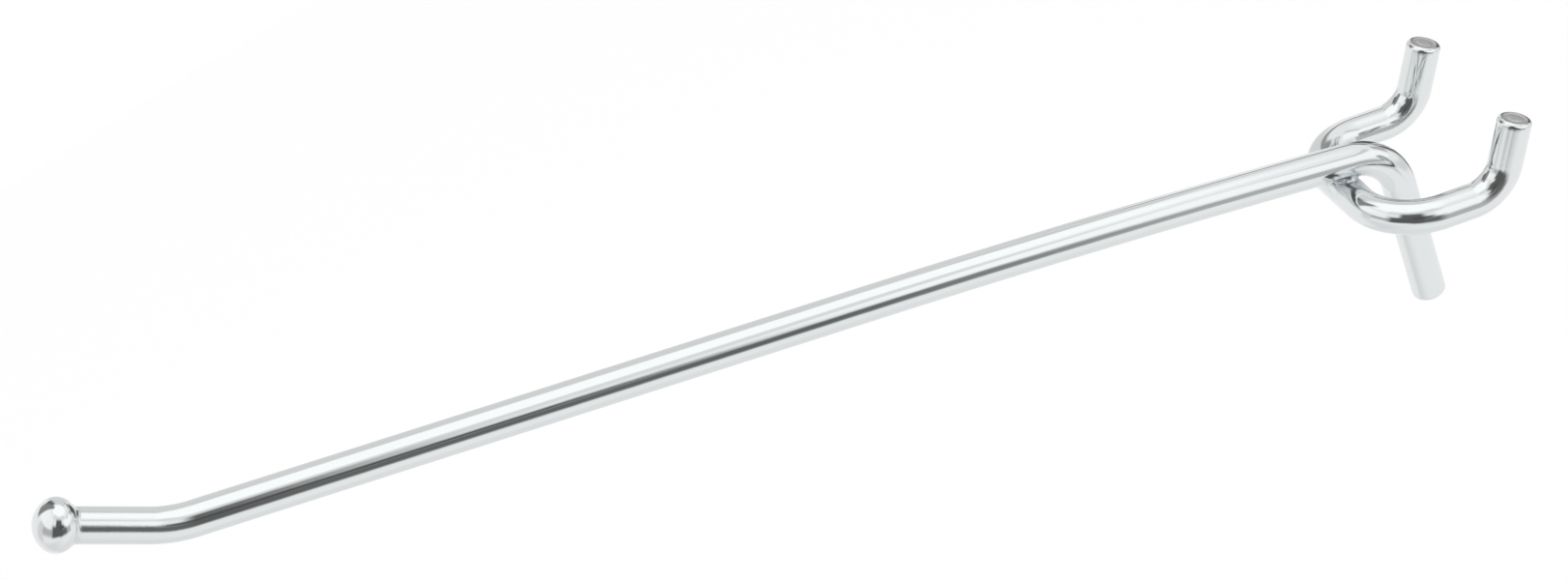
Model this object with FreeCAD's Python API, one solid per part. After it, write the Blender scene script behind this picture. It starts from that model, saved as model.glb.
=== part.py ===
import FreeCAD, Part
import math
import os

# Driving dimensions of the hook. Lengths are in millimetres and angles in degrees.
# The board's front face is the plane y = 0, the board fills the space behind it (+y),
# and the arm reaches out in front of it (-y). The origin lies midway between the two
# wires that pass through the board, on the board's front face.

# the wire, which is the same stock for both bent pieces
wire_diameter = 5.0
rolled_edge = 0.3

# the board that the hook hangs on
hole_spacing = 25.4

# the arm wire, from the leg's foot to the ball
leg_length = 20.2
leg_bend_radius = 8.5
arm_slope = 15.0
weld_run = 0.5
bow_angle = 2.5
bow_length = 73.0
arm_length = 97.5
tip_bend_radius = 17.0
tip_bend_angle = 20.9
tip_length = 12.4

# the ball on the arm's front end
ball_diameter = 7.45
ball_length = 6.2
ball_side_radius = 2.5
ball_seat_depth = 0.5

# the prong wire, a horseshoe with its two ends bent up
horseshoe_slope = -11.0
horseshoe_corner_radius = 8.5
horseshoe_run = 4.5
prong_bend_radius = 6.0
prong_bend_angle = 74.0
prong_length = 7.0

# the welds
weld_set_down = 0.3
weld_collar_radius = 1.65
weld_collar_thickness = 0.7
ball_weld_size = 0.4

wire_radius = wire_diameter / 2.0
full_turn = 360.0
across = FreeCAD.Vector(1, 0, 0)

# the ball's two ends are rounded so that they run smoothly into its side
side_offset = ball_diameter / 2.0 - ball_side_radius
ball_cap_radius = (side_offset ** 2 + ball_length ** 2 / 4.0 - ball_side_radius ** 2) / (
    ball_length - 2.0 * ball_side_radius)


def heading_at(angle):
    """The direction in the y-z plane at this angle above the line that points into the board."""
    radians = math.radians(angle)
    return FreeCAD.Vector(0, math.cos(radians), math.sin(radians))


def straight_piece(start, heading, length):
    """A straight length of wire, and the point where it ends."""
    piece = Part.makeCylinder(wire_radius, length, start, heading)
    return piece, start + heading * length


def bent_piece(start, heading, inward, bend_radius, angle):
    """One bend of the wire towards inward, with its end point and its new heading."""
    centre = start + inward * bend_radius
    axis = heading.cross(inward)
    section = Part.Face(Part.Wire(Part.makeCircle(wire_radius, start, heading)))
    piece = section.revolve(centre, axis, angle)
    turn = FreeCAD.Rotation(axis, angle)
    return piece, centre + turn.multVec(start - centre), turn.multVec(heading)


def sheared_end(start, heading):
    """The last bit of a cut wire, whose edge is rolled over by the shear."""
    return Part.makeCone(wire_radius, wire_radius - rolled_edge, rolled_edge, start, heading)


def joined(pieces):
    """The pieces as one solid without seams between them."""
    whole = pieces[0].multiFuse(pieces[1:]).removeSplitter()
    return whole.Solids[0]


def arm_layout():
    """The points and headings along the arm wire, with the board's face at y = 0."""
    weld_heading = heading_at(180.0 - arm_slope)
    # from the leg's axis up round the bend to the crossing with the prong wire
    bend_centre_y = -wire_radius - leg_bend_radius
    bend_end_y = bend_centre_y + leg_bend_radius * math.sin(math.radians(arm_slope))
    crossing_y = bend_end_y + weld_heading.y * weld_run
    rise = leg_bend_radius * math.cos(math.radians(arm_slope)) + weld_heading.z * weld_run
    # the prong wire's axis lies below the crossing, square to the arm
    axis_gap = wire_diameter - weld_set_down
    below = heading_at(90.0 - arm_slope) * -axis_gap
    # it reaches the board's face further back and lower, and that point is the origin
    to_board = -(crossing_y + below.y) / math.cos(math.radians(horseshoe_slope))
    drop = -math.sin(math.radians(horseshoe_slope)) * to_board
    crossing = FreeCAD.Vector(0, crossing_y, drop - below.z)
    leg_top = FreeCAD.Vector(0, -wire_radius, crossing.z - rise)
    return leg_top, crossing, crossing + below


def arm_wire():
    """The long wire: leg, rear bend, bowed arm, tip bend and the end that carries the ball."""
    up = FreeCAD.Vector(0, 0, 1)
    forward = FreeCAD.Vector(0, -1, 0)
    leg_top = arm_layout()[0]
    leg_foot = leg_top - up * (leg_length - rolled_edge)
    foot = sheared_end(leg_foot, up * -1)
    leg, point = straight_piece(leg_foot, up, leg_length - rolled_edge)
    rear_bend, point, heading = bent_piece(point, up, forward, leg_bend_radius, 90.0 - arm_slope)
    weld_part, point = straight_piece(point, heading, weld_run)
    bow_radius = bow_length / math.radians(bow_angle)
    bow, point, heading = bent_piece(point, heading, across.cross(heading), bow_radius, bow_angle)
    arm, point = straight_piece(point, heading, arm_length)
    tip_bend, point, heading = bent_piece(
        point, heading, heading.cross(across), tip_bend_radius, tip_bend_angle)
    ball_centre = point + heading * tip_length
    tip, point = straight_piece(point, heading, tip_length - ball_neck() + ball_seat_depth)
    wire = joined([foot, leg, rear_bend, weld_part, bow, arm, tip_bend, tip])
    return wire, ball_centre, heading


def ball_neck():
    """The distance from the ball's middle to where its surface meets the wire."""
    return math.sqrt(ball_cap_radius ** 2 - wire_radius ** 2) - ball_cap_radius + ball_length / 2.0


def ball_cap(centre, heading, side_centre):
    """The arc over one end of the ball, from its side to its end."""
    cap_centre = centre - heading * (ball_cap_radius - ball_length / 2.0)
    to_side = side_centre - cap_centre
    to_side.normalize()
    between = to_side + heading
    between.normalize()
    points = [cap_centre + way * ball_cap_radius for way in (to_side, between, heading)]
    return Part.Arc(points[0], points[1], points[2]).toShape(), points[0], points[2]


def ball_tip(arm, centre, heading):
    """The flattened ball, with a seat that takes the wire's end."""
    outwards = across.cross(heading)
    side_centre = centre + outwards * side_offset
    front_cap, front_edge, front_end = ball_cap(centre, heading, side_centre)
    rear_cap, rear_edge, rear_end = ball_cap(centre, heading * -1, side_centre)
    middle = centre + outwards * (ball_diameter / 2.0)
    side = Part.Arc(front_edge, middle, rear_edge).toShape()
    axis_line = Part.makeLine(rear_end, front_end)
    profile = Part.Face(Part.Wire(Part.sortEdges([front_cap, side, rear_cap, axis_line])[0]))
    ball = profile.revolve(centre, heading, full_turn)
    return ball.cut(arm).Solids[0]


def ball_weld(arm, ball, centre, heading):
    """The thin ring of weld in the corner between the ball and the wire."""
    corner = centre - heading * (ball_neck() + ball_weld_size / 2.0)
    ring = Part.makeTorus(wire_radius, ball_weld_size, corner, heading)
    return ring.cut(arm).cut(ball).Solids[0]


def prong_side(start, side, inward_heading):
    """One half of the horseshoe: crossing, corner, leg through the board and prong."""
    corner_start = hole_spacing / 2.0 - horseshoe_corner_radius
    crossing, point = straight_piece(start, side, corner_start)
    corner, point, heading = bent_piece(point, side, inward_heading, horseshoe_corner_radius, 90.0)
    leg, point = straight_piece(point, heading, horseshoe_run)
    prong_bend, point, heading = bent_piece(
        point, heading, across.cross(heading), prong_bend_radius, prong_bend_angle)
    prong, point = straight_piece(point, heading, prong_length - rolled_edge)
    return [crossing, corner, leg, prong_bend, prong, sheared_end(point, heading)]


def prong_wire(arm):
    """The horseshoe under the arm, with a shallow saddle where the weld presses it home."""
    middle = arm_layout()[2]
    back = heading_at(horseshoe_slope)
    right = prong_side(middle, across, back)
    left = prong_side(middle, across * -1, back)
    return joined(right + left).cut(arm).Solids[0]


def cross_weld(arm, horseshoe):
    """The collar of metal squeezed out round the contact of the two wires."""
    crossing, middle = arm_layout()[1:]
    square = crossing - middle
    square.normalize()
    contact = middle + square * (wire_radius - weld_set_down / 2.0)
    collar = Part.makeTorus(weld_collar_radius, weld_collar_thickness, contact, square)
    return collar.cut(arm).cut(horseshoe).Solids[0]


arm_solid, ball_centre, tip_heading = arm_wire()
ball_solid = ball_tip(arm_solid, ball_centre, tip_heading)
prong_solid = prong_wire(arm_solid)
nodes = {
    "arm_wire": arm_solid,
    "prong_wire": prong_solid,
    "cross_weld": cross_weld(arm_solid, prong_solid),
    "ball_tip": ball_solid,
    "ball_weld": ball_weld(arm_solid, ball_solid, ball_centre, tip_heading),
}
os.makedirs("parts", exist_ok=True)
for node, solid in nodes.items():
    solid.exportStep("parts/" + node + ".step")
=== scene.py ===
import bpy, bmesh, math
from mathutils import Vector, Matrix, noise


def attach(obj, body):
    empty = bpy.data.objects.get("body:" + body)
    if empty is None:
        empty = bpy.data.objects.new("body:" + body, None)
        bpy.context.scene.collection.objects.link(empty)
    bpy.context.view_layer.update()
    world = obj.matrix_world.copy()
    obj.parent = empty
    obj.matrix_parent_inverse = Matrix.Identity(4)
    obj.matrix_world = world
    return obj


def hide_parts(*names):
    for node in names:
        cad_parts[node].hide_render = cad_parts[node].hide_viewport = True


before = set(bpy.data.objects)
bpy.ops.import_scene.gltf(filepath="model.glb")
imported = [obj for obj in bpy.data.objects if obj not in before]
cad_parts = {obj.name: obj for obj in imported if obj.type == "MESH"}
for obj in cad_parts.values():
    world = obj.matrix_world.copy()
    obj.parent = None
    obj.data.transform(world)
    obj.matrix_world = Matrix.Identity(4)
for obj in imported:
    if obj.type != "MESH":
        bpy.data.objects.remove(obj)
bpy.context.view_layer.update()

# The camera. It looks down along the arm from the ball's side, as the photograph does,
# through a long lens.
bpy.context.scene.view_settings.view_transform = "Standard"
lens = bpy.data.cameras.new("camera")
lens.sensor_width = 36.0
lens.lens = 97.225
camera = bpy.data.objects.new("camera", lens)
camera.location = (0.459045, -0.175577, 0.365841)
camera.rotation_euler = [math.radians(turn) for turn in (52.4363, 17.6984, 66.4385)]
bpy.context.scene.collection.objects.link(camera)
bpy.context.scene.camera = camera


# The arm wire. Bright drawn steel wire, sheared to length, with a leg bent down at the
# rear and a rising tip at the front. The run between them has a slight bow.
def millimetres(*sizes):
    return [size / 1000.0 for size in sizes]


def heading_at(angle):
    return Vector((0.0, math.cos(math.radians(angle)), math.sin(math.radians(angle))))


class BendDrawing:
    """The corners of a bent wire, each with the radius that it is bent to."""

    def __init__(self, start, heading):
        self.point, self.heading = Vector(start), Vector(heading)
        self.corners, self.bends = [self.point.copy()], [0.0]

    def run(self, length):
        self.point = self.point + self.heading * length

    def bend(self, angle, radius, axis):
        reach = radius * math.tan(math.radians(angle) / 2.0)
        self.corners.append(self.point + self.heading * reach)
        self.bends.append(radius)
        self.heading = Matrix.Rotation(math.radians(angle), 3, axis) @ self.heading
        self.point = self.corners[-1] + self.heading * reach

    def end(self):
        self.corners.append(self.point.copy())
        self.bends.append(0.0)


def sheared_end_steps(radius):
    """How far back from a cut each ring of the wire's end lies, and its girth.

    All are shares of the wire's radius: first the rolled edge, then rings over the cut face.
    """
    run_out, rolled_back, rolled_in = 0.45, 0.28, 0.252
    face_edge, face_step, crown_step = 0.748, 0.052, 0.0004
    steps = [(run_out, 1.0)]
    for turn in range(0, 91, 9):
        back = rolled_back * (1.0 - math.sin(math.radians(turn)))
        steps.append((back, 1.0 - rolled_in * (1.0 - math.cos(math.radians(turn)))))
    steps += [(-crown_step * ring, face_edge - face_step * ring) for ring in range(1, 15)]
    return [(radius * back, girth) for back, girth in steps]


def wire_line(corners, bends, radius, sheared=("start", "end")):
    """A wire's corners as one line of edges, with the rings of its sheared ends."""
    points, bends, girths = list(corners), list(bends), [1.0] * len(corners)
    for cut in sheared:
        at_start = cut == "start"
        end, inner = (points[0], points[1]) if at_start else (points[-1], points[-2])
        back = (inner - end).normalized()
        rings = [(end + back * step, girth) for step, girth in sheared_end_steps(radius)]
        if at_start:
            rings.reverse()
        spot = slice(0, 1) if at_start else slice(len(points) - 1, None)
        points[spot] = [ring for ring, girth in rings]
        girths[spot] = [girth for ring, girth in rings]
        bends[spot] = [0.0] * len(rings)
    mesh = bpy.data.meshes.new("bend line")
    mesh.from_pydata(points, [(i, i + 1) for i in range(len(points) - 1)], [])
    for name, values in (("bend_radius", bends), ("girth", girths)):
        mesh.attributes.new(name, "FLOAT", "POINT").data.foreach_set("value", values)
    return mesh


def add_node(tree, kind, inputs=None, **settings):
    """One node of a tree, with its settings and its linked or plain inputs."""
    node = tree.nodes.new(kind)
    for name, value in settings.items():
        setattr(node, name, value)
    for name, value in (inputs or {}).items():
        if isinstance(value, bpy.types.NodeSocket):
            tree.links.new(value, node.inputs[name])
        else:
            node.inputs[name].default_value = value
    return node


def bent_wire_tree():
    """Rounds a bend line's corners and sweeps a round section along it."""
    tree = bpy.data.node_groups.new("bent wire", "GeometryNodeTree")
    face = tree.interface
    face.new_socket("Line", in_out="INPUT", socket_type="NodeSocketGeometry")
    sockets = {}
    for name, kind in (("Wire radius", "NodeSocketFloat"), ("Points in a bend", "NodeSocketInt"),
                       ("Points round", "NodeSocketInt"), ("Shear roughness", "NodeSocketFloat"),
                       ("Ring depth", "NodeSocketFloat"), ("Finish", "NodeSocketMaterial")):
        sockets[name] = face.new_socket(name, in_out="INPUT", socket_type=kind).identifier
    face.new_socket("Wire", in_out="OUTPUT", socket_type="NodeSocketGeometry")
    given = tree.nodes.new("NodeGroupInput").outputs
    bend = add_node(tree, "GeometryNodeInputNamedAttribute", {"Name": "bend_radius"},
                    data_type="FLOAT")
    girth = add_node(tree, "GeometryNodeInputNamedAttribute", {"Name": "girth"},
                     data_type="FLOAT")
    line = add_node(tree, "GeometryNodeMeshToCurve", {"Mesh": given["Line"]})
    rounded = add_node(tree, "GeometryNodeFilletCurve", {
        "Curve": line.outputs["Curve"], "Count": given["Points in a bend"],
        "Radius": bend.outputs["Attribute"]}, mode="POLY")
    # the place along the wire and round it, which the finish follows
    along = tree.nodes.new("GeometryNodeSplineParameter")
    held = tree.nodes.new("GeometryNodeCaptureAttribute")
    held.capture_items.new("FLOAT", "Length")
    tree.links.new(rounded.outputs["Curve"], held.inputs["Geometry"])
    tree.links.new(along.outputs["Length"], held.inputs["Length"])
    ring = add_node(tree, "GeometryNodeCurvePrimitiveCircle", {
        "Resolution": given["Points round"], "Radius": given["Wire radius"]}, mode="RADIUS")
    place = tree.nodes.new("GeometryNodeInputPosition")
    held_ring = tree.nodes.new("GeometryNodeCaptureAttribute")
    held_ring.capture_items.new("VECTOR", "Round")
    tree.links.new(ring.outputs["Curve"], held_ring.inputs["Geometry"])
    tree.links.new(place.outputs["Position"], held_ring.inputs["Round"])
    tube = add_node(tree, "GeometryNodeCurveToMesh", {
        "Curve": held.outputs["Geometry"], "Profile Curve": held_ring.outputs["Geometry"],
        "Scale": girth.outputs["Attribute"], "Fill Caps": True})
    parts = add_node(tree, "ShaderNodeSeparateXYZ", {"Vector": held_ring.outputs["Round"]})
    joined = add_node(tree, "ShaderNodeCombineXYZ", {
        "X": parts.outputs["X"], "Y": parts.outputs["Y"], "Z": held.outputs["Length"]})
    marked = add_node(tree, "GeometryNodeStoreNamedAttribute", {
        "Geometry": tube.outputs["Mesh"], "Name": "wire_place", "Value": joined.outputs["Vector"]},
        data_type="FLOAT_VECTOR", domain="POINT")
    # the shear leaves the cut face a little torn, with a shallow ring pressed into it
    cut = add_node(tree, "ShaderNodeMapRange", {
        "Value": girth.outputs["Attribute"], "From Min": 0.80, "From Max": 0.70})
    torn = add_node(tree, "ShaderNodeTexNoise", {"Scale": 1400.0, "Detail": 3.0},
                    noise_dimensions="3D")
    centred = add_node(tree, "ShaderNodeMath", {0: torn.outputs["Fac"], 1: 0.5},
                       operation="SUBTRACT")
    depth = add_node(tree, "ShaderNodeMath", {0: centred.outputs[0], 1: given["Shear roughness"]},
                     operation="MULTIPLY")
    outer = add_node(tree, "ShaderNodeMapRange", {
        "Value": girth.outputs["Attribute"], "From Min": 0.72, "From Max": 0.58},
        interpolation_type="SMOOTHSTEP")
    inner = add_node(tree, "ShaderNodeMapRange", {
        "Value": girth.outputs["Attribute"], "From Min": 0.28, "From Max": 0.52},
        interpolation_type="SMOOTHSTEP")
    ring_in = add_node(tree, "ShaderNodeMath", {
        0: outer.outputs["Result"], 1: inner.outputs["Result"]}, operation="MULTIPLY")
    pressed = add_node(tree, "ShaderNodeMath", {
        0: ring_in.outputs[0], 1: given["Ring depth"], 2: depth.outputs[0]}, operation="MULTIPLY_ADD")
    amount = add_node(tree, "ShaderNodeMath", {0: pressed.outputs[0], 1: cut.outputs["Result"]},
                      operation="MULTIPLY")
    normal = tree.nodes.new("GeometryNodeInputNormal")
    push = add_node(tree, "ShaderNodeVectorMath", {0: normal.outputs["Normal"]}, operation="SCALE")
    tree.links.new(amount.outputs[0], push.inputs["Scale"])
    faced = add_node(tree, "GeometryNodeStoreNamedAttribute", {
        "Geometry": marked.outputs["Geometry"], "Name": "cut_face", "Value": cut.outputs["Result"]},
        data_type="FLOAT", domain="POINT")
    moved = add_node(tree, "GeometryNodeSetPosition", {
        "Geometry": faced.outputs["Geometry"], "Offset": push.outputs["Vector"]})
    smooth = add_node(tree, "GeometryNodeSetShadeSmooth", {"Geometry": moved.outputs["Geometry"]})
    whole = add_node(tree, "GeometryNodeRealizeInstances", {"Geometry": smooth.outputs["Geometry"]})
    finished = add_node(tree, "GeometryNodeSetMaterial", {
        "Geometry": whole.outputs["Geometry"], "Material": given["Finish"]})
    out = tree.nodes.new("NodeGroupOutput")
    tree.links.new(finished.outputs["Geometry"], out.inputs["Wire"])
    return tree, sockets


def bent_wire(name, line, radius, finish):
    """A finished wire as a plain mesh."""
    blank = bpy.data.objects.new(name + " blank", line)
    bpy.context.scene.collection.objects.link(blank)
    bend = blank.modifiers.new("bend", "NODES")
    bend.node_group = wire_tree
    for label, value in (("Wire radius", radius), ("Points in a bend", 40), ("Points round", 72),
                         ("Shear roughness", 0.00005), ("Ring depth", -0.00008), ("Finish", finish)):
        bend[wire_inputs[label]] = value
    evaluated = blank.evaluated_get(bpy.context.evaluated_depsgraph_get())
    mesh = bpy.data.meshes.new_from_object(evaluated)
    bpy.data.objects.remove(blank)
    mesh.name = name
    wire = bpy.data.objects.new(name, mesh)
    bpy.context.scene.collection.objects.link(wire)
    return wire


def noise_at(tree, place, scale, detail=2.0):
    return add_node(tree, "ShaderNodeTexNoise", {"Vector": place, "Scale": scale, "Detail": detail},
                    noise_dimensions="3D").outputs["Fac"]


def blend_colour(tree, amount, low, high):
    """One colour or another, by an amount; either may be a socket."""
    mix = add_node(tree, "ShaderNodeMix", {"Factor": amount}, data_type="RGBA")
    for socket, colour in ((mix.inputs[6], low), (mix.inputs[7], high)):
        if isinstance(colour, bpy.types.NodeSocket):
            tree.links.new(colour, socket)
        else:
            socket.default_value = (*colour, 1.0)
    return mix.outputs[2]


def blend_value(tree, amount, low, high):
    mix = add_node(tree, "ShaderNodeMix", {"Factor": amount, "A": low, "B": high}, data_type="FLOAT")
    return mix.outputs["Result"]


def near_place(tree, place, near, far):
    """1 within one distance of a place, and 0 beyond another."""
    here = add_node(tree, "ShaderNodeTexCoord")
    distance = add_node(tree, "ShaderNodeVectorMath", {0: here.outputs["Object"], 1: place},
                        operation="DISTANCE")
    return add_node(tree, "ShaderNodeMapRange", {
        "Value": distance.outputs["Value"], "From Min": far, "From Max": near},
        interpolation_type="SMOOTHSTEP").outputs["Result"]


def nearest_of(tree, places):
    """The strongest of several near places."""
    spots = [near_place(tree, *place) for place in places]
    strongest = spots[0]
    for spot in spots[1:]:
        strongest = add_node(tree, "ShaderNodeMath", {0: strongest, 1: spot},
                             operation="MAXIMUM").outputs[0]
    return strongest


def plated_wire(name, bright, shaded, weld_places, puckered):
    """Chrome over drawn wire: draw marks, waviness, puckered skin in places, welds dulled by heat and
    darkened by painted shade.
    """
    heat_clouded_and_shaded, cut_steel = (0.56, 0.59, 0.63), (0.70, 0.69, 0.69)
    material = bpy.data.materials.new(name)
    material.use_nodes = True
    tree = material.node_tree
    shader = tree.nodes["Principled BSDF"]
    shader.inputs["Metallic"].default_value = 1.0
    place = add_node(tree, "ShaderNodeAttribute", attribute_name="wire_place").outputs["Vector"]
    lengthwise = add_node(tree, "ShaderNodeVectorMath", {0: place, 1: (1.0, 1.0, 0.02)},
                          operation="MULTIPLY").outputs["Vector"]
    slow = add_node(tree, "ShaderNodeVectorMath", {0: place, 1: (1.0, 1.0, 0.3)},
                    operation="MULTIPLY").outputs["Vector"]
    draw_marks = noise_at(tree, lengthwise, 7000.0, 3.0)
    waves = noise_at(tree, slow, 420.0)
    cloud = noise_at(tree, slow, 260.0, 4.0)
    # the plating is thinner and duller where the welding heat has reached; its darker colour there is
    # painted shade, where the arm meets the prong wire
    patchy = add_node(tree, "ShaderNodeMapRange", {
        "Value": noise_at(tree, place, 620.0, 1.5), "From Min": 0.30, "From Max": 0.62}
        ).outputs["Result"]
    heat_and_shade = add_node(tree, "ShaderNodeMath", {0: nearest_of(tree, weld_places), 1: patchy},
                    operation="MULTIPLY").outputs[0]
    cut = add_node(tree, "ShaderNodeAttribute", attribute_name="cut_face").outputs["Fac"]
    colour = blend_colour(tree, cloud, bright, shaded)
    # painted shade: the wire's colour darkens round the contact of the two wires
    colour = blend_colour(tree, heat_and_shade, colour, heat_clouded_and_shaded)
    colour = blend_colour(tree, cut, colour, cut_steel)
    tree.links.new(colour, shader.inputs["Base Color"])
    polish = blend_value(tree, draw_marks, 0.045, 0.13)
    polish = blend_value(tree, heat_and_shade, polish, 0.30)
    polish = blend_value(tree, cut, polish, 0.48)
    tree.links.new(polish, shader.inputs["Roughness"])
    wavy = add_node(tree, "ShaderNodeBump", {"Height": waves, "Distance": 0.000014})
    # tight bends and the heat of the ball's weld pucker the wire's skin under the plating
    peel_depth = blend_value(tree, nearest_of(tree, puckered), 0.0000016, 0.0000075)
    peel = add_node(tree, "ShaderNodeBump", {
        "Height": noise_at(tree, place, 1700.0), "Distance": peel_depth,
        "Normal": wavy.outputs["Normal"]})
    drawn = add_node(tree, "ShaderNodeBump", {
        "Height": draw_marks, "Distance": 0.0000012, "Normal": peel.outputs["Normal"]})
    crystal = add_node(tree, "ShaderNodeMath", {0: noise_at(tree, place, 9000.0, 3.0), 1: cut},
                       operation="MULTIPLY")
    rough = add_node(tree, "ShaderNodeBump", {
        "Height": crystal.outputs[0], "Distance": 0.000012, "Normal": drawn.outputs["Normal"]})
    tree.links.new(rough.outputs["Normal"], shader.inputs["Normal"])
    return material


wire_tree, wire_inputs = bent_wire_tree()
wire_radius = 0.0025
weld_set_down = 0.0003
arm_slope = 15.0
leg_length, leg_bend, weld_run = millimetres(20.2, 8.5, 0.5)
bow_length, arm_length, tip_bend, tip_length = millimetres(73.0, 97.5, 17.0, 12.4)
bow_angle, tip_angle = 2.5, 20.9
horseshoe_slope = -11.0
# the crossing of the two wires, which both drawings start from
slope_sine, slope_cosine = math.sin(math.radians(arm_slope)), math.cos(math.radians(arm_slope))
crossing_y = -wire_radius - leg_bend * (1.0 - slope_sine) - weld_run * slope_cosine
square_to_arm = heading_at(90.0 - arm_slope)
below = square_to_arm * -(2.0 * wire_radius - weld_set_down)
crossing_z = (crossing_y + below.y) * math.tan(math.radians(horseshoe_slope)) - below.z
crossing = Vector((0.0, crossing_y, crossing_z))
middle = crossing + below
contact = middle + square_to_arm * (wire_radius - weld_set_down / 2.0)
across = Vector((1.0, 0.0, 0.0))
leg_top_z = crossing_z - leg_bend * slope_cosine - weld_run * slope_sine

arm_drawing = BendDrawing((0.0, -wire_radius, leg_top_z - leg_length), (0.0, 0.0, 1.0))
arm_drawing.run(leg_length)
arm_drawing.bend(90.0 - arm_slope, leg_bend, across)
arm_drawing.run(weld_run)
arm_drawing.bend(bow_angle, bow_length / math.radians(bow_angle), across)
arm_drawing.run(arm_length)
arm_drawing.bend(tip_angle, tip_bend, -across)
arm_drawing.run(tip_length)
ball_centre, tip_heading = arm_drawing.point.copy(), arm_drawing.heading.copy()
# the wire's end is sunk in the ball and stops short of its middle
short_of_middle = 0.0016
arm_drawing.run(-short_of_middle)
arm_drawing.end()
# the prong wire's corners on one side, which place the puckered skin of its tight bends
horseshoe_corner, horseshoe_run, half_spacing = millimetres(8.5, 4.5, 12.7)
prong_bend, prong_length, prong_angle = 0.006, 0.007, 74.0
back = heading_at(horseshoe_slope)
prong_heading = heading_at(horseshoe_slope + prong_angle)
prong_turn = prong_bend * math.tan(math.radians(prong_angle) / 2.0)
corner_place = middle + back * horseshoe_corner
turn_place = corner_place + back * (horseshoe_run + prong_turn)
tip_place = turn_place + prong_heading * (prong_turn + prong_length)
wire_chrome = plated_wire(
    "bright plated wire", (0.785, 0.805, 0.805), (0.745, 0.77, 0.775), [(contact, 0.0018, 0.0044)],
    [(turn_place + across * half_spacing, 0.0035, 0.0085),
     (turn_place - across * half_spacing, 0.0035, 0.0085),
     (ball_centre - tip_heading * 0.007, 0.006, 0.011)])
arm_line = wire_line(arm_drawing.corners, arm_drawing.bends, wire_radius, sheared=("start",))
arm = bent_wire("arm_wire_plated", arm_line, wire_radius, wire_chrome)
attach(arm, "root")
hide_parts("arm_wire")


# The prong wire. The same wire bent into a horseshoe under the arm, whose legs pass
# through the board and turn up behind it as prongs. The weld presses it into the arm.
prong_corners = [place + across * side * half_spacing for side, place in (
    (1, tip_place), (1, turn_place), (1, middle), (-1, middle), (-1, turn_place), (-1, tip_place))]
prong_bends = [0.0, prong_bend, horseshoe_corner, horseshoe_corner, prong_bend, 0.0]
prong_line = wire_line(prong_corners, prong_bends, wire_radius)
prongs = bent_wire("prong_wire_plated", prong_line, wire_radius, wire_chrome)
saddle_reach, saddle_depth = 0.004, 0.002
for vertex in prongs.data.vertices:
    if abs(vertex.co.x) < saddle_reach:
        hit, place, normal, _ = arm.closest_point_on_mesh(vertex.co, distance=saddle_depth)
        if hit and (vertex.co - place).dot(normal) < 0.0:
            vertex.co = place
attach(prongs, "root")
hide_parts("prong_wire")


# The ball tip. A steel ball, squeezed a little flat along the wire when it was welded on,
# with the wire's end sunk in a shallow seat.
ball_radius, ball_half_length = millimetres(3.725, 3.1)
ball_side_radius, ball_seat_depth = millimetres(2.5, 0.5)
side_offset = ball_radius - ball_side_radius
ball_cap_radius = (side_offset ** 2 + ball_half_length ** 2 - ball_side_radius ** 2) / (
    2.0 * (ball_half_length - ball_side_radius))
ball_neck = math.sqrt(ball_cap_radius ** 2 - wire_radius ** 2) - ball_cap_radius + ball_half_length


def turned_piece(name, profile, centre, axis, finish, unevenness=0.0):
    """A closed profile of (distance along, distance out) pairs, turned about an axis."""
    facets = 96
    out = axis.cross(across).normalized()
    turned = bmesh.new()
    rings = []
    for step in range(facets):
        spoke = Matrix.Rotation(2.0 * math.pi * step / facets, 3, axis) @ out
        ring = []
        for along, outwards in profile:
            lump = 1.0 + unevenness * noise.noise(spoke * 1.7 + axis * along * 900.0)
            ring.append(turned.verts.new(centre + axis * along + spoke * outwards * lump))
        rings.append(ring)
    for step in range(facets):
        here, there = rings[step], rings[(step + 1) % facets]
        for low in range(len(profile)):
            high = (low + 1) % len(profile)
            turned.faces.new((here[low], here[high], there[high], there[low]))
    bmesh.ops.remove_doubles(turned, verts=turned.verts, dist=1e-7)
    bmesh.ops.recalc_face_normals(turned, faces=turned.faces)
    mesh = bpy.data.meshes.new(name)
    turned.to_mesh(mesh)
    turned.free()
    mesh.shade_smooth()
    mesh.materials.append(finish)
    piece = bpy.data.objects.new(name, mesh)
    bpy.context.scene.collection.objects.link(piece)
    return piece


tangent = Vector((side_offset, ball_cap_radius - ball_half_length)).normalized() * ball_cap_radius
cap_angle = math.atan2(tangent.x, tangent.y)
cap_steps, side_steps = 24, 40
ball_profile = []
for step in range(cap_steps + 1):
    turn = cap_angle * step / cap_steps
    ball_profile.append((math.cos(turn) * ball_cap_radius - ball_cap_radius + ball_half_length,
                         math.sin(turn) * ball_cap_radius))
for step in range(1, side_steps):
    turn = cap_angle + (math.pi - 2.0 * cap_angle) * step / side_steps
    ball_profile.append((math.cos(turn) * ball_side_radius,
                         side_offset + math.sin(turn) * ball_side_radius))
seat_angle = math.asin(wire_radius / ball_cap_radius)
for step in range(cap_steps + 1):
    turn = cap_angle + (seat_angle - cap_angle) * step / cap_steps
    ball_profile.append((-math.cos(turn) * ball_cap_radius + ball_cap_radius - ball_half_length,
                         math.sin(turn) * ball_cap_radius))
ball_profile += [(-ball_neck + ball_seat_depth, wire_radius), (-ball_neck + ball_seat_depth, 0.0)]


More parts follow.
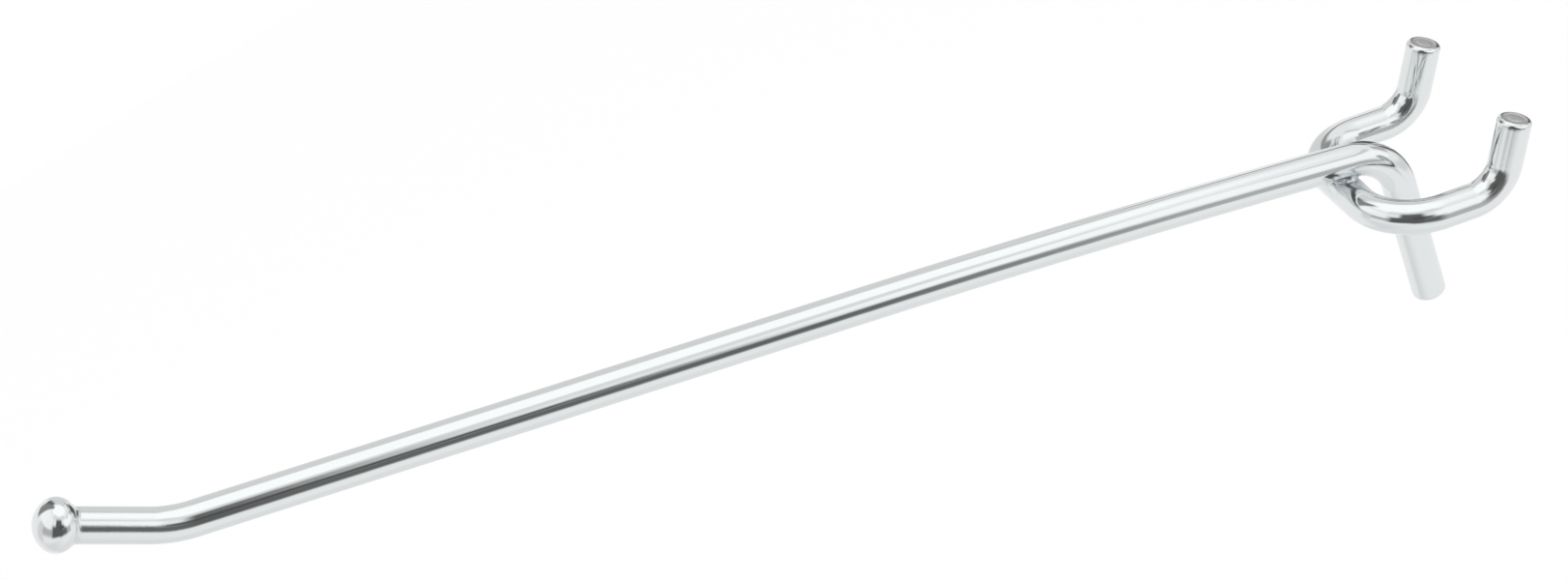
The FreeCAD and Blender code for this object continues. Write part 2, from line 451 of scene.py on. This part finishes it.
def plated_solid(name, bright, shaded, polish, dull, lump_size, lump_depth):
    """Chrome over a ball or a weld, clouded and lumpy as far as the figures say."""
    material = bpy.data.materials.new(name)
    material.use_nodes = True
    tree = material.node_tree
    shader = tree.nodes["Principled BSDF"]
    shader.inputs["Metallic"].default_value = 1.0
    place = add_node(tree, "ShaderNodeTexCoord").outputs["Object"]
    cloud = noise_at(tree, place, 0.5 / lump_size, 4.0)
    lumps = noise_at(tree, place, 1.0 / lump_size, 3.0)
    tree.links.new(blend_colour(tree, cloud, bright, shaded), shader.inputs["Base Color"])
    tree.links.new(blend_value(tree, lumps, polish, dull), shader.inputs["Roughness"])
    bump = add_node(tree, "ShaderNodeBump", {"Height": lumps, "Distance": lump_depth})
    tree.links.new(bump.outputs["Normal"], shader.inputs["Normal"])
    return material


ball_chrome = plated_solid("bright plated ball", (0.79, 0.81, 0.81), (0.75, 0.77, 0.775),
                           0.03, 0.09, 0.0011, 0.000006)
ball = turned_piece("ball_tip_plated", ball_profile, ball_centre, tip_heading, ball_chrome)
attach(ball, "root")
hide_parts("ball_tip")


# The ball weld. A thin ring of weld metal in the corner between the ball and the wire,
# a little uneven, plated over with the rest.
fillet_radius, fillet_steps = 0.0009, 16
seat_slope = math.pi / 2.0 - seat_angle
# the fillet touches the wire's side and the ball's end, and its back is buried in both
touch = fillet_radius * math.tan(seat_slope / 2.0)
ring_profile = []
for step in range(fillet_steps + 1):
    turn = seat_slope * step / fillet_steps
    ring_profile.append((-ball_neck - touch + math.sin(turn) * fillet_radius,
                         wire_radius + (1.0 - math.cos(turn)) * fillet_radius))
ring_profile += [(-ball_neck + 0.0008, wire_radius + 0.0001),
                 (-ball_neck + 0.0004, wire_radius - 0.0004),
                 (-ball_neck - touch, wire_radius - 0.0003)]
ring_chrome = plated_solid("plated ball weld", (0.77, 0.79, 0.79), (0.70, 0.72, 0.73),
                           0.10, 0.22, 0.0007, 0.000015)
ball_weld = turned_piece("ball_weld_ring", ring_profile, ball_centre, tip_heading, ring_chrome,
                         unevenness=0.01)
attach(ball_weld, "root")
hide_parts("ball_weld")


# The cross weld. Metal squeezed out round the contact of the two wires, which has set as
# an uneven fillet from one wire's side to the other's.
weld_chrome = plated_solid("plated weld", (0.72, 0.74, 0.76), (0.56, 0.59, 0.63),
                           0.22, 0.36, 0.0009, 0.00002)
weld_reach, weld_core, weld_waist = 0.0025, 0.0008, 0.26
rim_unevenness, skin_unevenness = 0.10, 0.05
steps_round, steps_down = 144, 16
along_arm = across.cross(square_to_arm)


def wire_falls_away(offset):
    """How far a wire's side has curved away at this distance from its middle line."""
    return wire_radius - math.sqrt(wire_radius ** 2 - min(abs(offset), wire_radius * 0.999) ** 2)


weld = bmesh.new()
weld_rings = []
for step in range(steps_round):
    turn = 2.0 * math.pi * step / steps_round
    spoke = across * math.cos(turn) + along_arm * math.sin(turn)
    lump = 1.0 + rim_unevenness * noise.noise(spoke * 1.6 + Vector((3.0, 0.0, 0.0)))
    reach = weld_reach * lump
    up_to_arm = wire_falls_away(reach * math.cos(turn))
    down_to_prongs = wire_falls_away(reach * math.sin(turn))
    ring = [contact + spoke * weld_core - square_to_arm * weld_core,
            contact + spoke * weld_core + square_to_arm * weld_core]
    for rung in range(steps_down + 1):
        share = rung / steps_down
        height = up_to_arm - (up_to_arm + down_to_prongs) * share
        waist = 1.0 - weld_waist * math.sin(math.pi * share)
        lump = 1.0 + skin_unevenness * noise.noise(spoke * 4.0 + square_to_arm * share * 3.0)
        ring.append(contact + spoke * reach * waist * lump + square_to_arm * height)
    weld_rings.append([weld.verts.new(place) for place in ring])
for step, here in enumerate(weld_rings):
    there = weld_rings[(step + 1) % len(weld_rings)]
    for low in range(len(here)):
        high = (low + 1) % len(here)
        weld.faces.new((here[low], there[low], there[high], here[high]))
bmesh.ops.recalc_face_normals(weld, faces=weld.faces)
weld_mesh = bpy.data.meshes.new("cross_weld_collar")
weld.to_mesh(weld_mesh)
weld.free()
weld_mesh.shade_smooth()
weld_mesh.materials.append(weld_chrome)
collar = bpy.data.objects.new("cross_weld_collar", weld_mesh)
bpy.context.scene.collection.objects.link(collar)
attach(collar, "root")
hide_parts("cross_weld")


# The floor and the light. A round pale floor well below the hook, with plain white light
# all round. The chrome mirrors a small tent of white cloth, with its roof, gaps and doorway.
rim_start = Vector((0.8, -0.1, -0.35))
floor_mesh = bpy.data.meshes.new("floor")
rim = [Matrix.Rotation(math.radians(turn), 3, "Z") @ rim_start for turn in range(0, 360, 5)]
floor_mesh.from_pydata(rim, [], [list(range(len(rim)))])
floor = bpy.data.objects.new("floor", floor_mesh)
bpy.context.scene.collection.objects.link(floor)
floor_material = bpy.data.materials.new("pale floor")
floor_material.use_nodes = True
tree = floor_material.node_tree
shader = tree.nodes["Principled BSDF"]
shader.inputs["Base Color"].default_value = (0.72, 0.72, 0.72, 1.0)
shader.inputs["Roughness"].default_value = 0.9
shader.inputs["Emission Color"].default_value = (1.0, 1.0, 1.0, 1.0)
# white to the lens; in the chrome it dims a little towards the side that the ball points to
path = add_node(tree, "ShaderNodeLightPath")
here = add_node(tree, "ShaderNodeTexCoord")
towards_rear = add_node(tree, "ShaderNodeVectorMath", {
    0: here.outputs["Object"], 1: (0.6, 0.8, 0.0)}, operation="DOT_PRODUCT").outputs["Value"]
mirrored = add_node(tree, "ShaderNodeMapRange", {
    "Value": towards_rear, "From Min": -0.5, "From Max": 0.5, "To Min": 0.105, "To Max": 0.245}
    ).outputs["Result"]
seen = add_node(tree, "ShaderNodeMath", {
    0: path.outputs["Is Camera Ray"], 1: path.outputs["Is Transmission Ray"]}, operation="ADD")
plain_glow = add_node(tree, "ShaderNodeMath", {0: seen.outputs[0], 1: 0.28}, operation="MULTIPLY")
glow = add_node(tree, "ShaderNodeMath", {
    0: path.outputs["Is Glossy Ray"], 1: mirrored, 2: plain_glow.outputs[0]}, operation="MULTIPLY_ADD")
tree.links.new(glow.outputs[0], shader.inputs["Emission Strength"])
floor_mesh.materials.append(floor_material)

world = bpy.data.worlds.new("white surround")
bpy.context.scene.world = world
world.use_nodes = True
world.cycles_visibility.glossy = False
world.node_tree.nodes["Background"].inputs["Color"].default_value = (1.0, 1.0, 1.0, 1.0)

# the tent stands close round the hook, so what the chrome mirrors shifts along it; only the
# chrome sees it, and the floor and the lens see plain white
tent_radius, tent_middle = 0.45, (0.0, -0.09, 0.02)
cloth = bmesh.new()
bmesh.ops.create_uvsphere(cloth, u_segments=64, v_segments=32, radius=tent_radius)
tent_mesh = bpy.data.meshes.new("tent")
cloth.to_mesh(tent_mesh)
cloth.free()
tent = bpy.data.objects.new("tent", tent_mesh)
tent.location = tent_middle
tent.visible_camera = tent.visible_diffuse = tent.visible_shadow = False
bpy.context.scene.collection.objects.link(tent)
tent_material = bpy.data.materials.new("lit cloth")
tent_material.use_nodes = True
tree = tent_material.node_tree
tree.nodes.remove(tree.nodes["Principled BSDF"])


def between(value, low, low_end, high_start, high):
    """1 between two soft edges, in degrees, and 0 outside them."""
    rise = add_node(tree, "ShaderNodeMapRange", {
        "Value": value, "From Min": math.radians(low), "From Max": math.radians(low_end)},
        interpolation_type="SMOOTHSTEP")
    fall = add_node(tree, "ShaderNodeMapRange", {
        "Value": value, "From Min": math.radians(high_start), "From Max": math.radians(high),
        "To Min": 1.0, "To Max": 0.0}, interpolation_type="SMOOTHSTEP")
    return add_node(tree, "ShaderNodeMath", {0: rise.outputs["Result"], 1: fall.outputs["Result"]},
                    operation="MULTIPLY").outputs[0]


def tent_patch(level, brightness, turn, height):
    """A patch of the tent at one brightness, over the level round it.

    Its soft edges are angles in degrees, round the tent from the hook's rear and up from level.
    """
    amount = add_node(tree, "ShaderNodeMath", {
        0: between(azimuth, *turn), 1: between(elevation, *height)}, operation="MULTIPLY").outputs[0]
    return blend_value(tree, amount, level, brightness)


here = add_node(tree, "ShaderNodeTexCoord")
way = add_node(tree, "ShaderNodeVectorMath", {0: here.outputs["Object"]}, operation="NORMALIZE")
# the tent is level with the arm, which slopes when the hook hangs
way = add_node(tree, "ShaderNodeVectorRotate", {
    "Vector": way.outputs["Vector"], "Angle": math.radians(arm_slope)}, rotation_type="X_AXIS")
sides = add_node(tree, "ShaderNodeSeparateXYZ", {"Vector": way.outputs["Vector"]})
azimuth = add_node(tree, "ShaderNodeMath", {0: sides.outputs["X"], 1: sides.outputs["Y"]},
                   operation="ARCTAN2").outputs[0]
elevation = add_node(tree, "ShaderNodeMath", {0: sides.outputs["Z"]}, operation="ARCSINE").outputs[0]
all_round = (-200.0, -190.0, 190.0, 200.0)
level = tent_patch(0.99, 1.23, all_round, (50.3, 65.3, 87.3, 92.3))
# the bright panels of the tent's right side and of the side behind the lens
level = tent_patch(level, 1.16, (0.1, 10.8, 68.3, 77.3), (12.6, 16.4, 43.5, 51.4))
level = tent_patch(level, 1.08, (152.1, 160.9, 222.9, 232.9), (7.7, 18.4, 43.0, 48.8))
level = tent_patch(level, 1.13, (-210.0, -200.0, -148.0, -134.3), (11.5, 24.1, 46.7, 50.1))
# the seams where the tent's roof meets its walls, and where two walls meet
level = tent_patch(level, 0.88, (44.3, 57.5, 157.6, 164.8), (42.1, 48.0, 60.0, 68.7))
level = tent_patch(level, 0.52, (-22.7, -14.8, -4.3, -1.1), (14.1, 19.9, 31.9, 35.1))
level = tent_patch(level, 0.75, (-65.3, -58.9, -46.9, -39.8), (37.9, 40.9, 55.7, 61.5))
level = tent_patch(level, 0.75, (-3.1, 6.7, 43.1, 48.1), (34.9, 40.5, 43.2, 49.0))
# the far wall, which gets less light, with a dark gap on either side
level = tent_patch(level, 0.79, (-106.8, -103.7, -65.4, -60.0), (-16.3, -5.5, 53.0, 65.0))
level = tent_patch(level, 0.14, (-153.1, -138.1, -111.9, -97.0), (14.3, 21.7, 46.9, 60.6))
level = tent_patch(level, 0.28, (-151.9, -142.9, -128.8, -114.3), (7.5, 10.9, 59.4, 70.1))
level = tent_patch(level, 0.10, (-57.7, -48.3, -25.3, -13.1), (-19.0, -9.7, 14.1, 28.5))
level = tent_patch(level, 0.33, (-66.6, -58.7, -32.9, -22.0), (23.5, 26.6, 31.5, 34.5))
# the tent's foot, dim all round and darkest behind the hook's rear
level = tent_patch(level, 0.79, (-200.0, -190.0, -167.8, -157.5), (-32.3, -19.3, 14.5, 17.7))
level = tent_patch(level, 0.53, (144.4, 154.4, 185.4, 195.4), (-14.7, -0.5, 8.6, 17.2))
level = tent_patch(level, 0.54, (33.8, 42.3, 65.8, 76.1), (-20.1, -13.6, 4.9, 10.3))
level = tent_patch(level, 0.79, (-32.4, -17.3, 17.2, 42.1), (-8.6, -3.6, 2.1, 7.9))
# the low part behind the ball, where less light falls
level = tent_patch(level, 0.84, (80.0, 165.0, 200.0, 210.0), (-85.0, -80.0, -38.0, -18.0))
level = tent_patch(level, 0.88, (-210.0, -200.0, -175.0, -150.0), (-85.0, -80.0, -38.0, -18.0))
# the dark doorway that the lens looks in by, with the slit over it
level = tent_patch(level, 0.13, (82.9, 97.9, 126.8, 137.0), (-10.3, -0.5, 43.6, 58.6))
level = tent_patch(level, 0.15, (56.1, 74.0, 105.8, 120.1), (-24.0, -7.1, 9.7, 24.2))
level = tent_patch(level, 0.12, (90.6, 96.1, 142.1, 156.9), (-17.3, -6.4, 18.8, 33.5))
level = tent_patch(level, 0.09, (71.8, 84.1, 105.4, 115.1), (13.1, 18.2, 21.8, 36.5))
glow = add_node(tree, "ShaderNodeEmission", {"Color": (1.0, 1.0, 1.0, 1.0), "Strength": level})
tree.links.new(glow.outputs["Emission"], tree.nodes["Material Output"].inputs["Surface"])
tent_mesh.materials.append(tent_material)
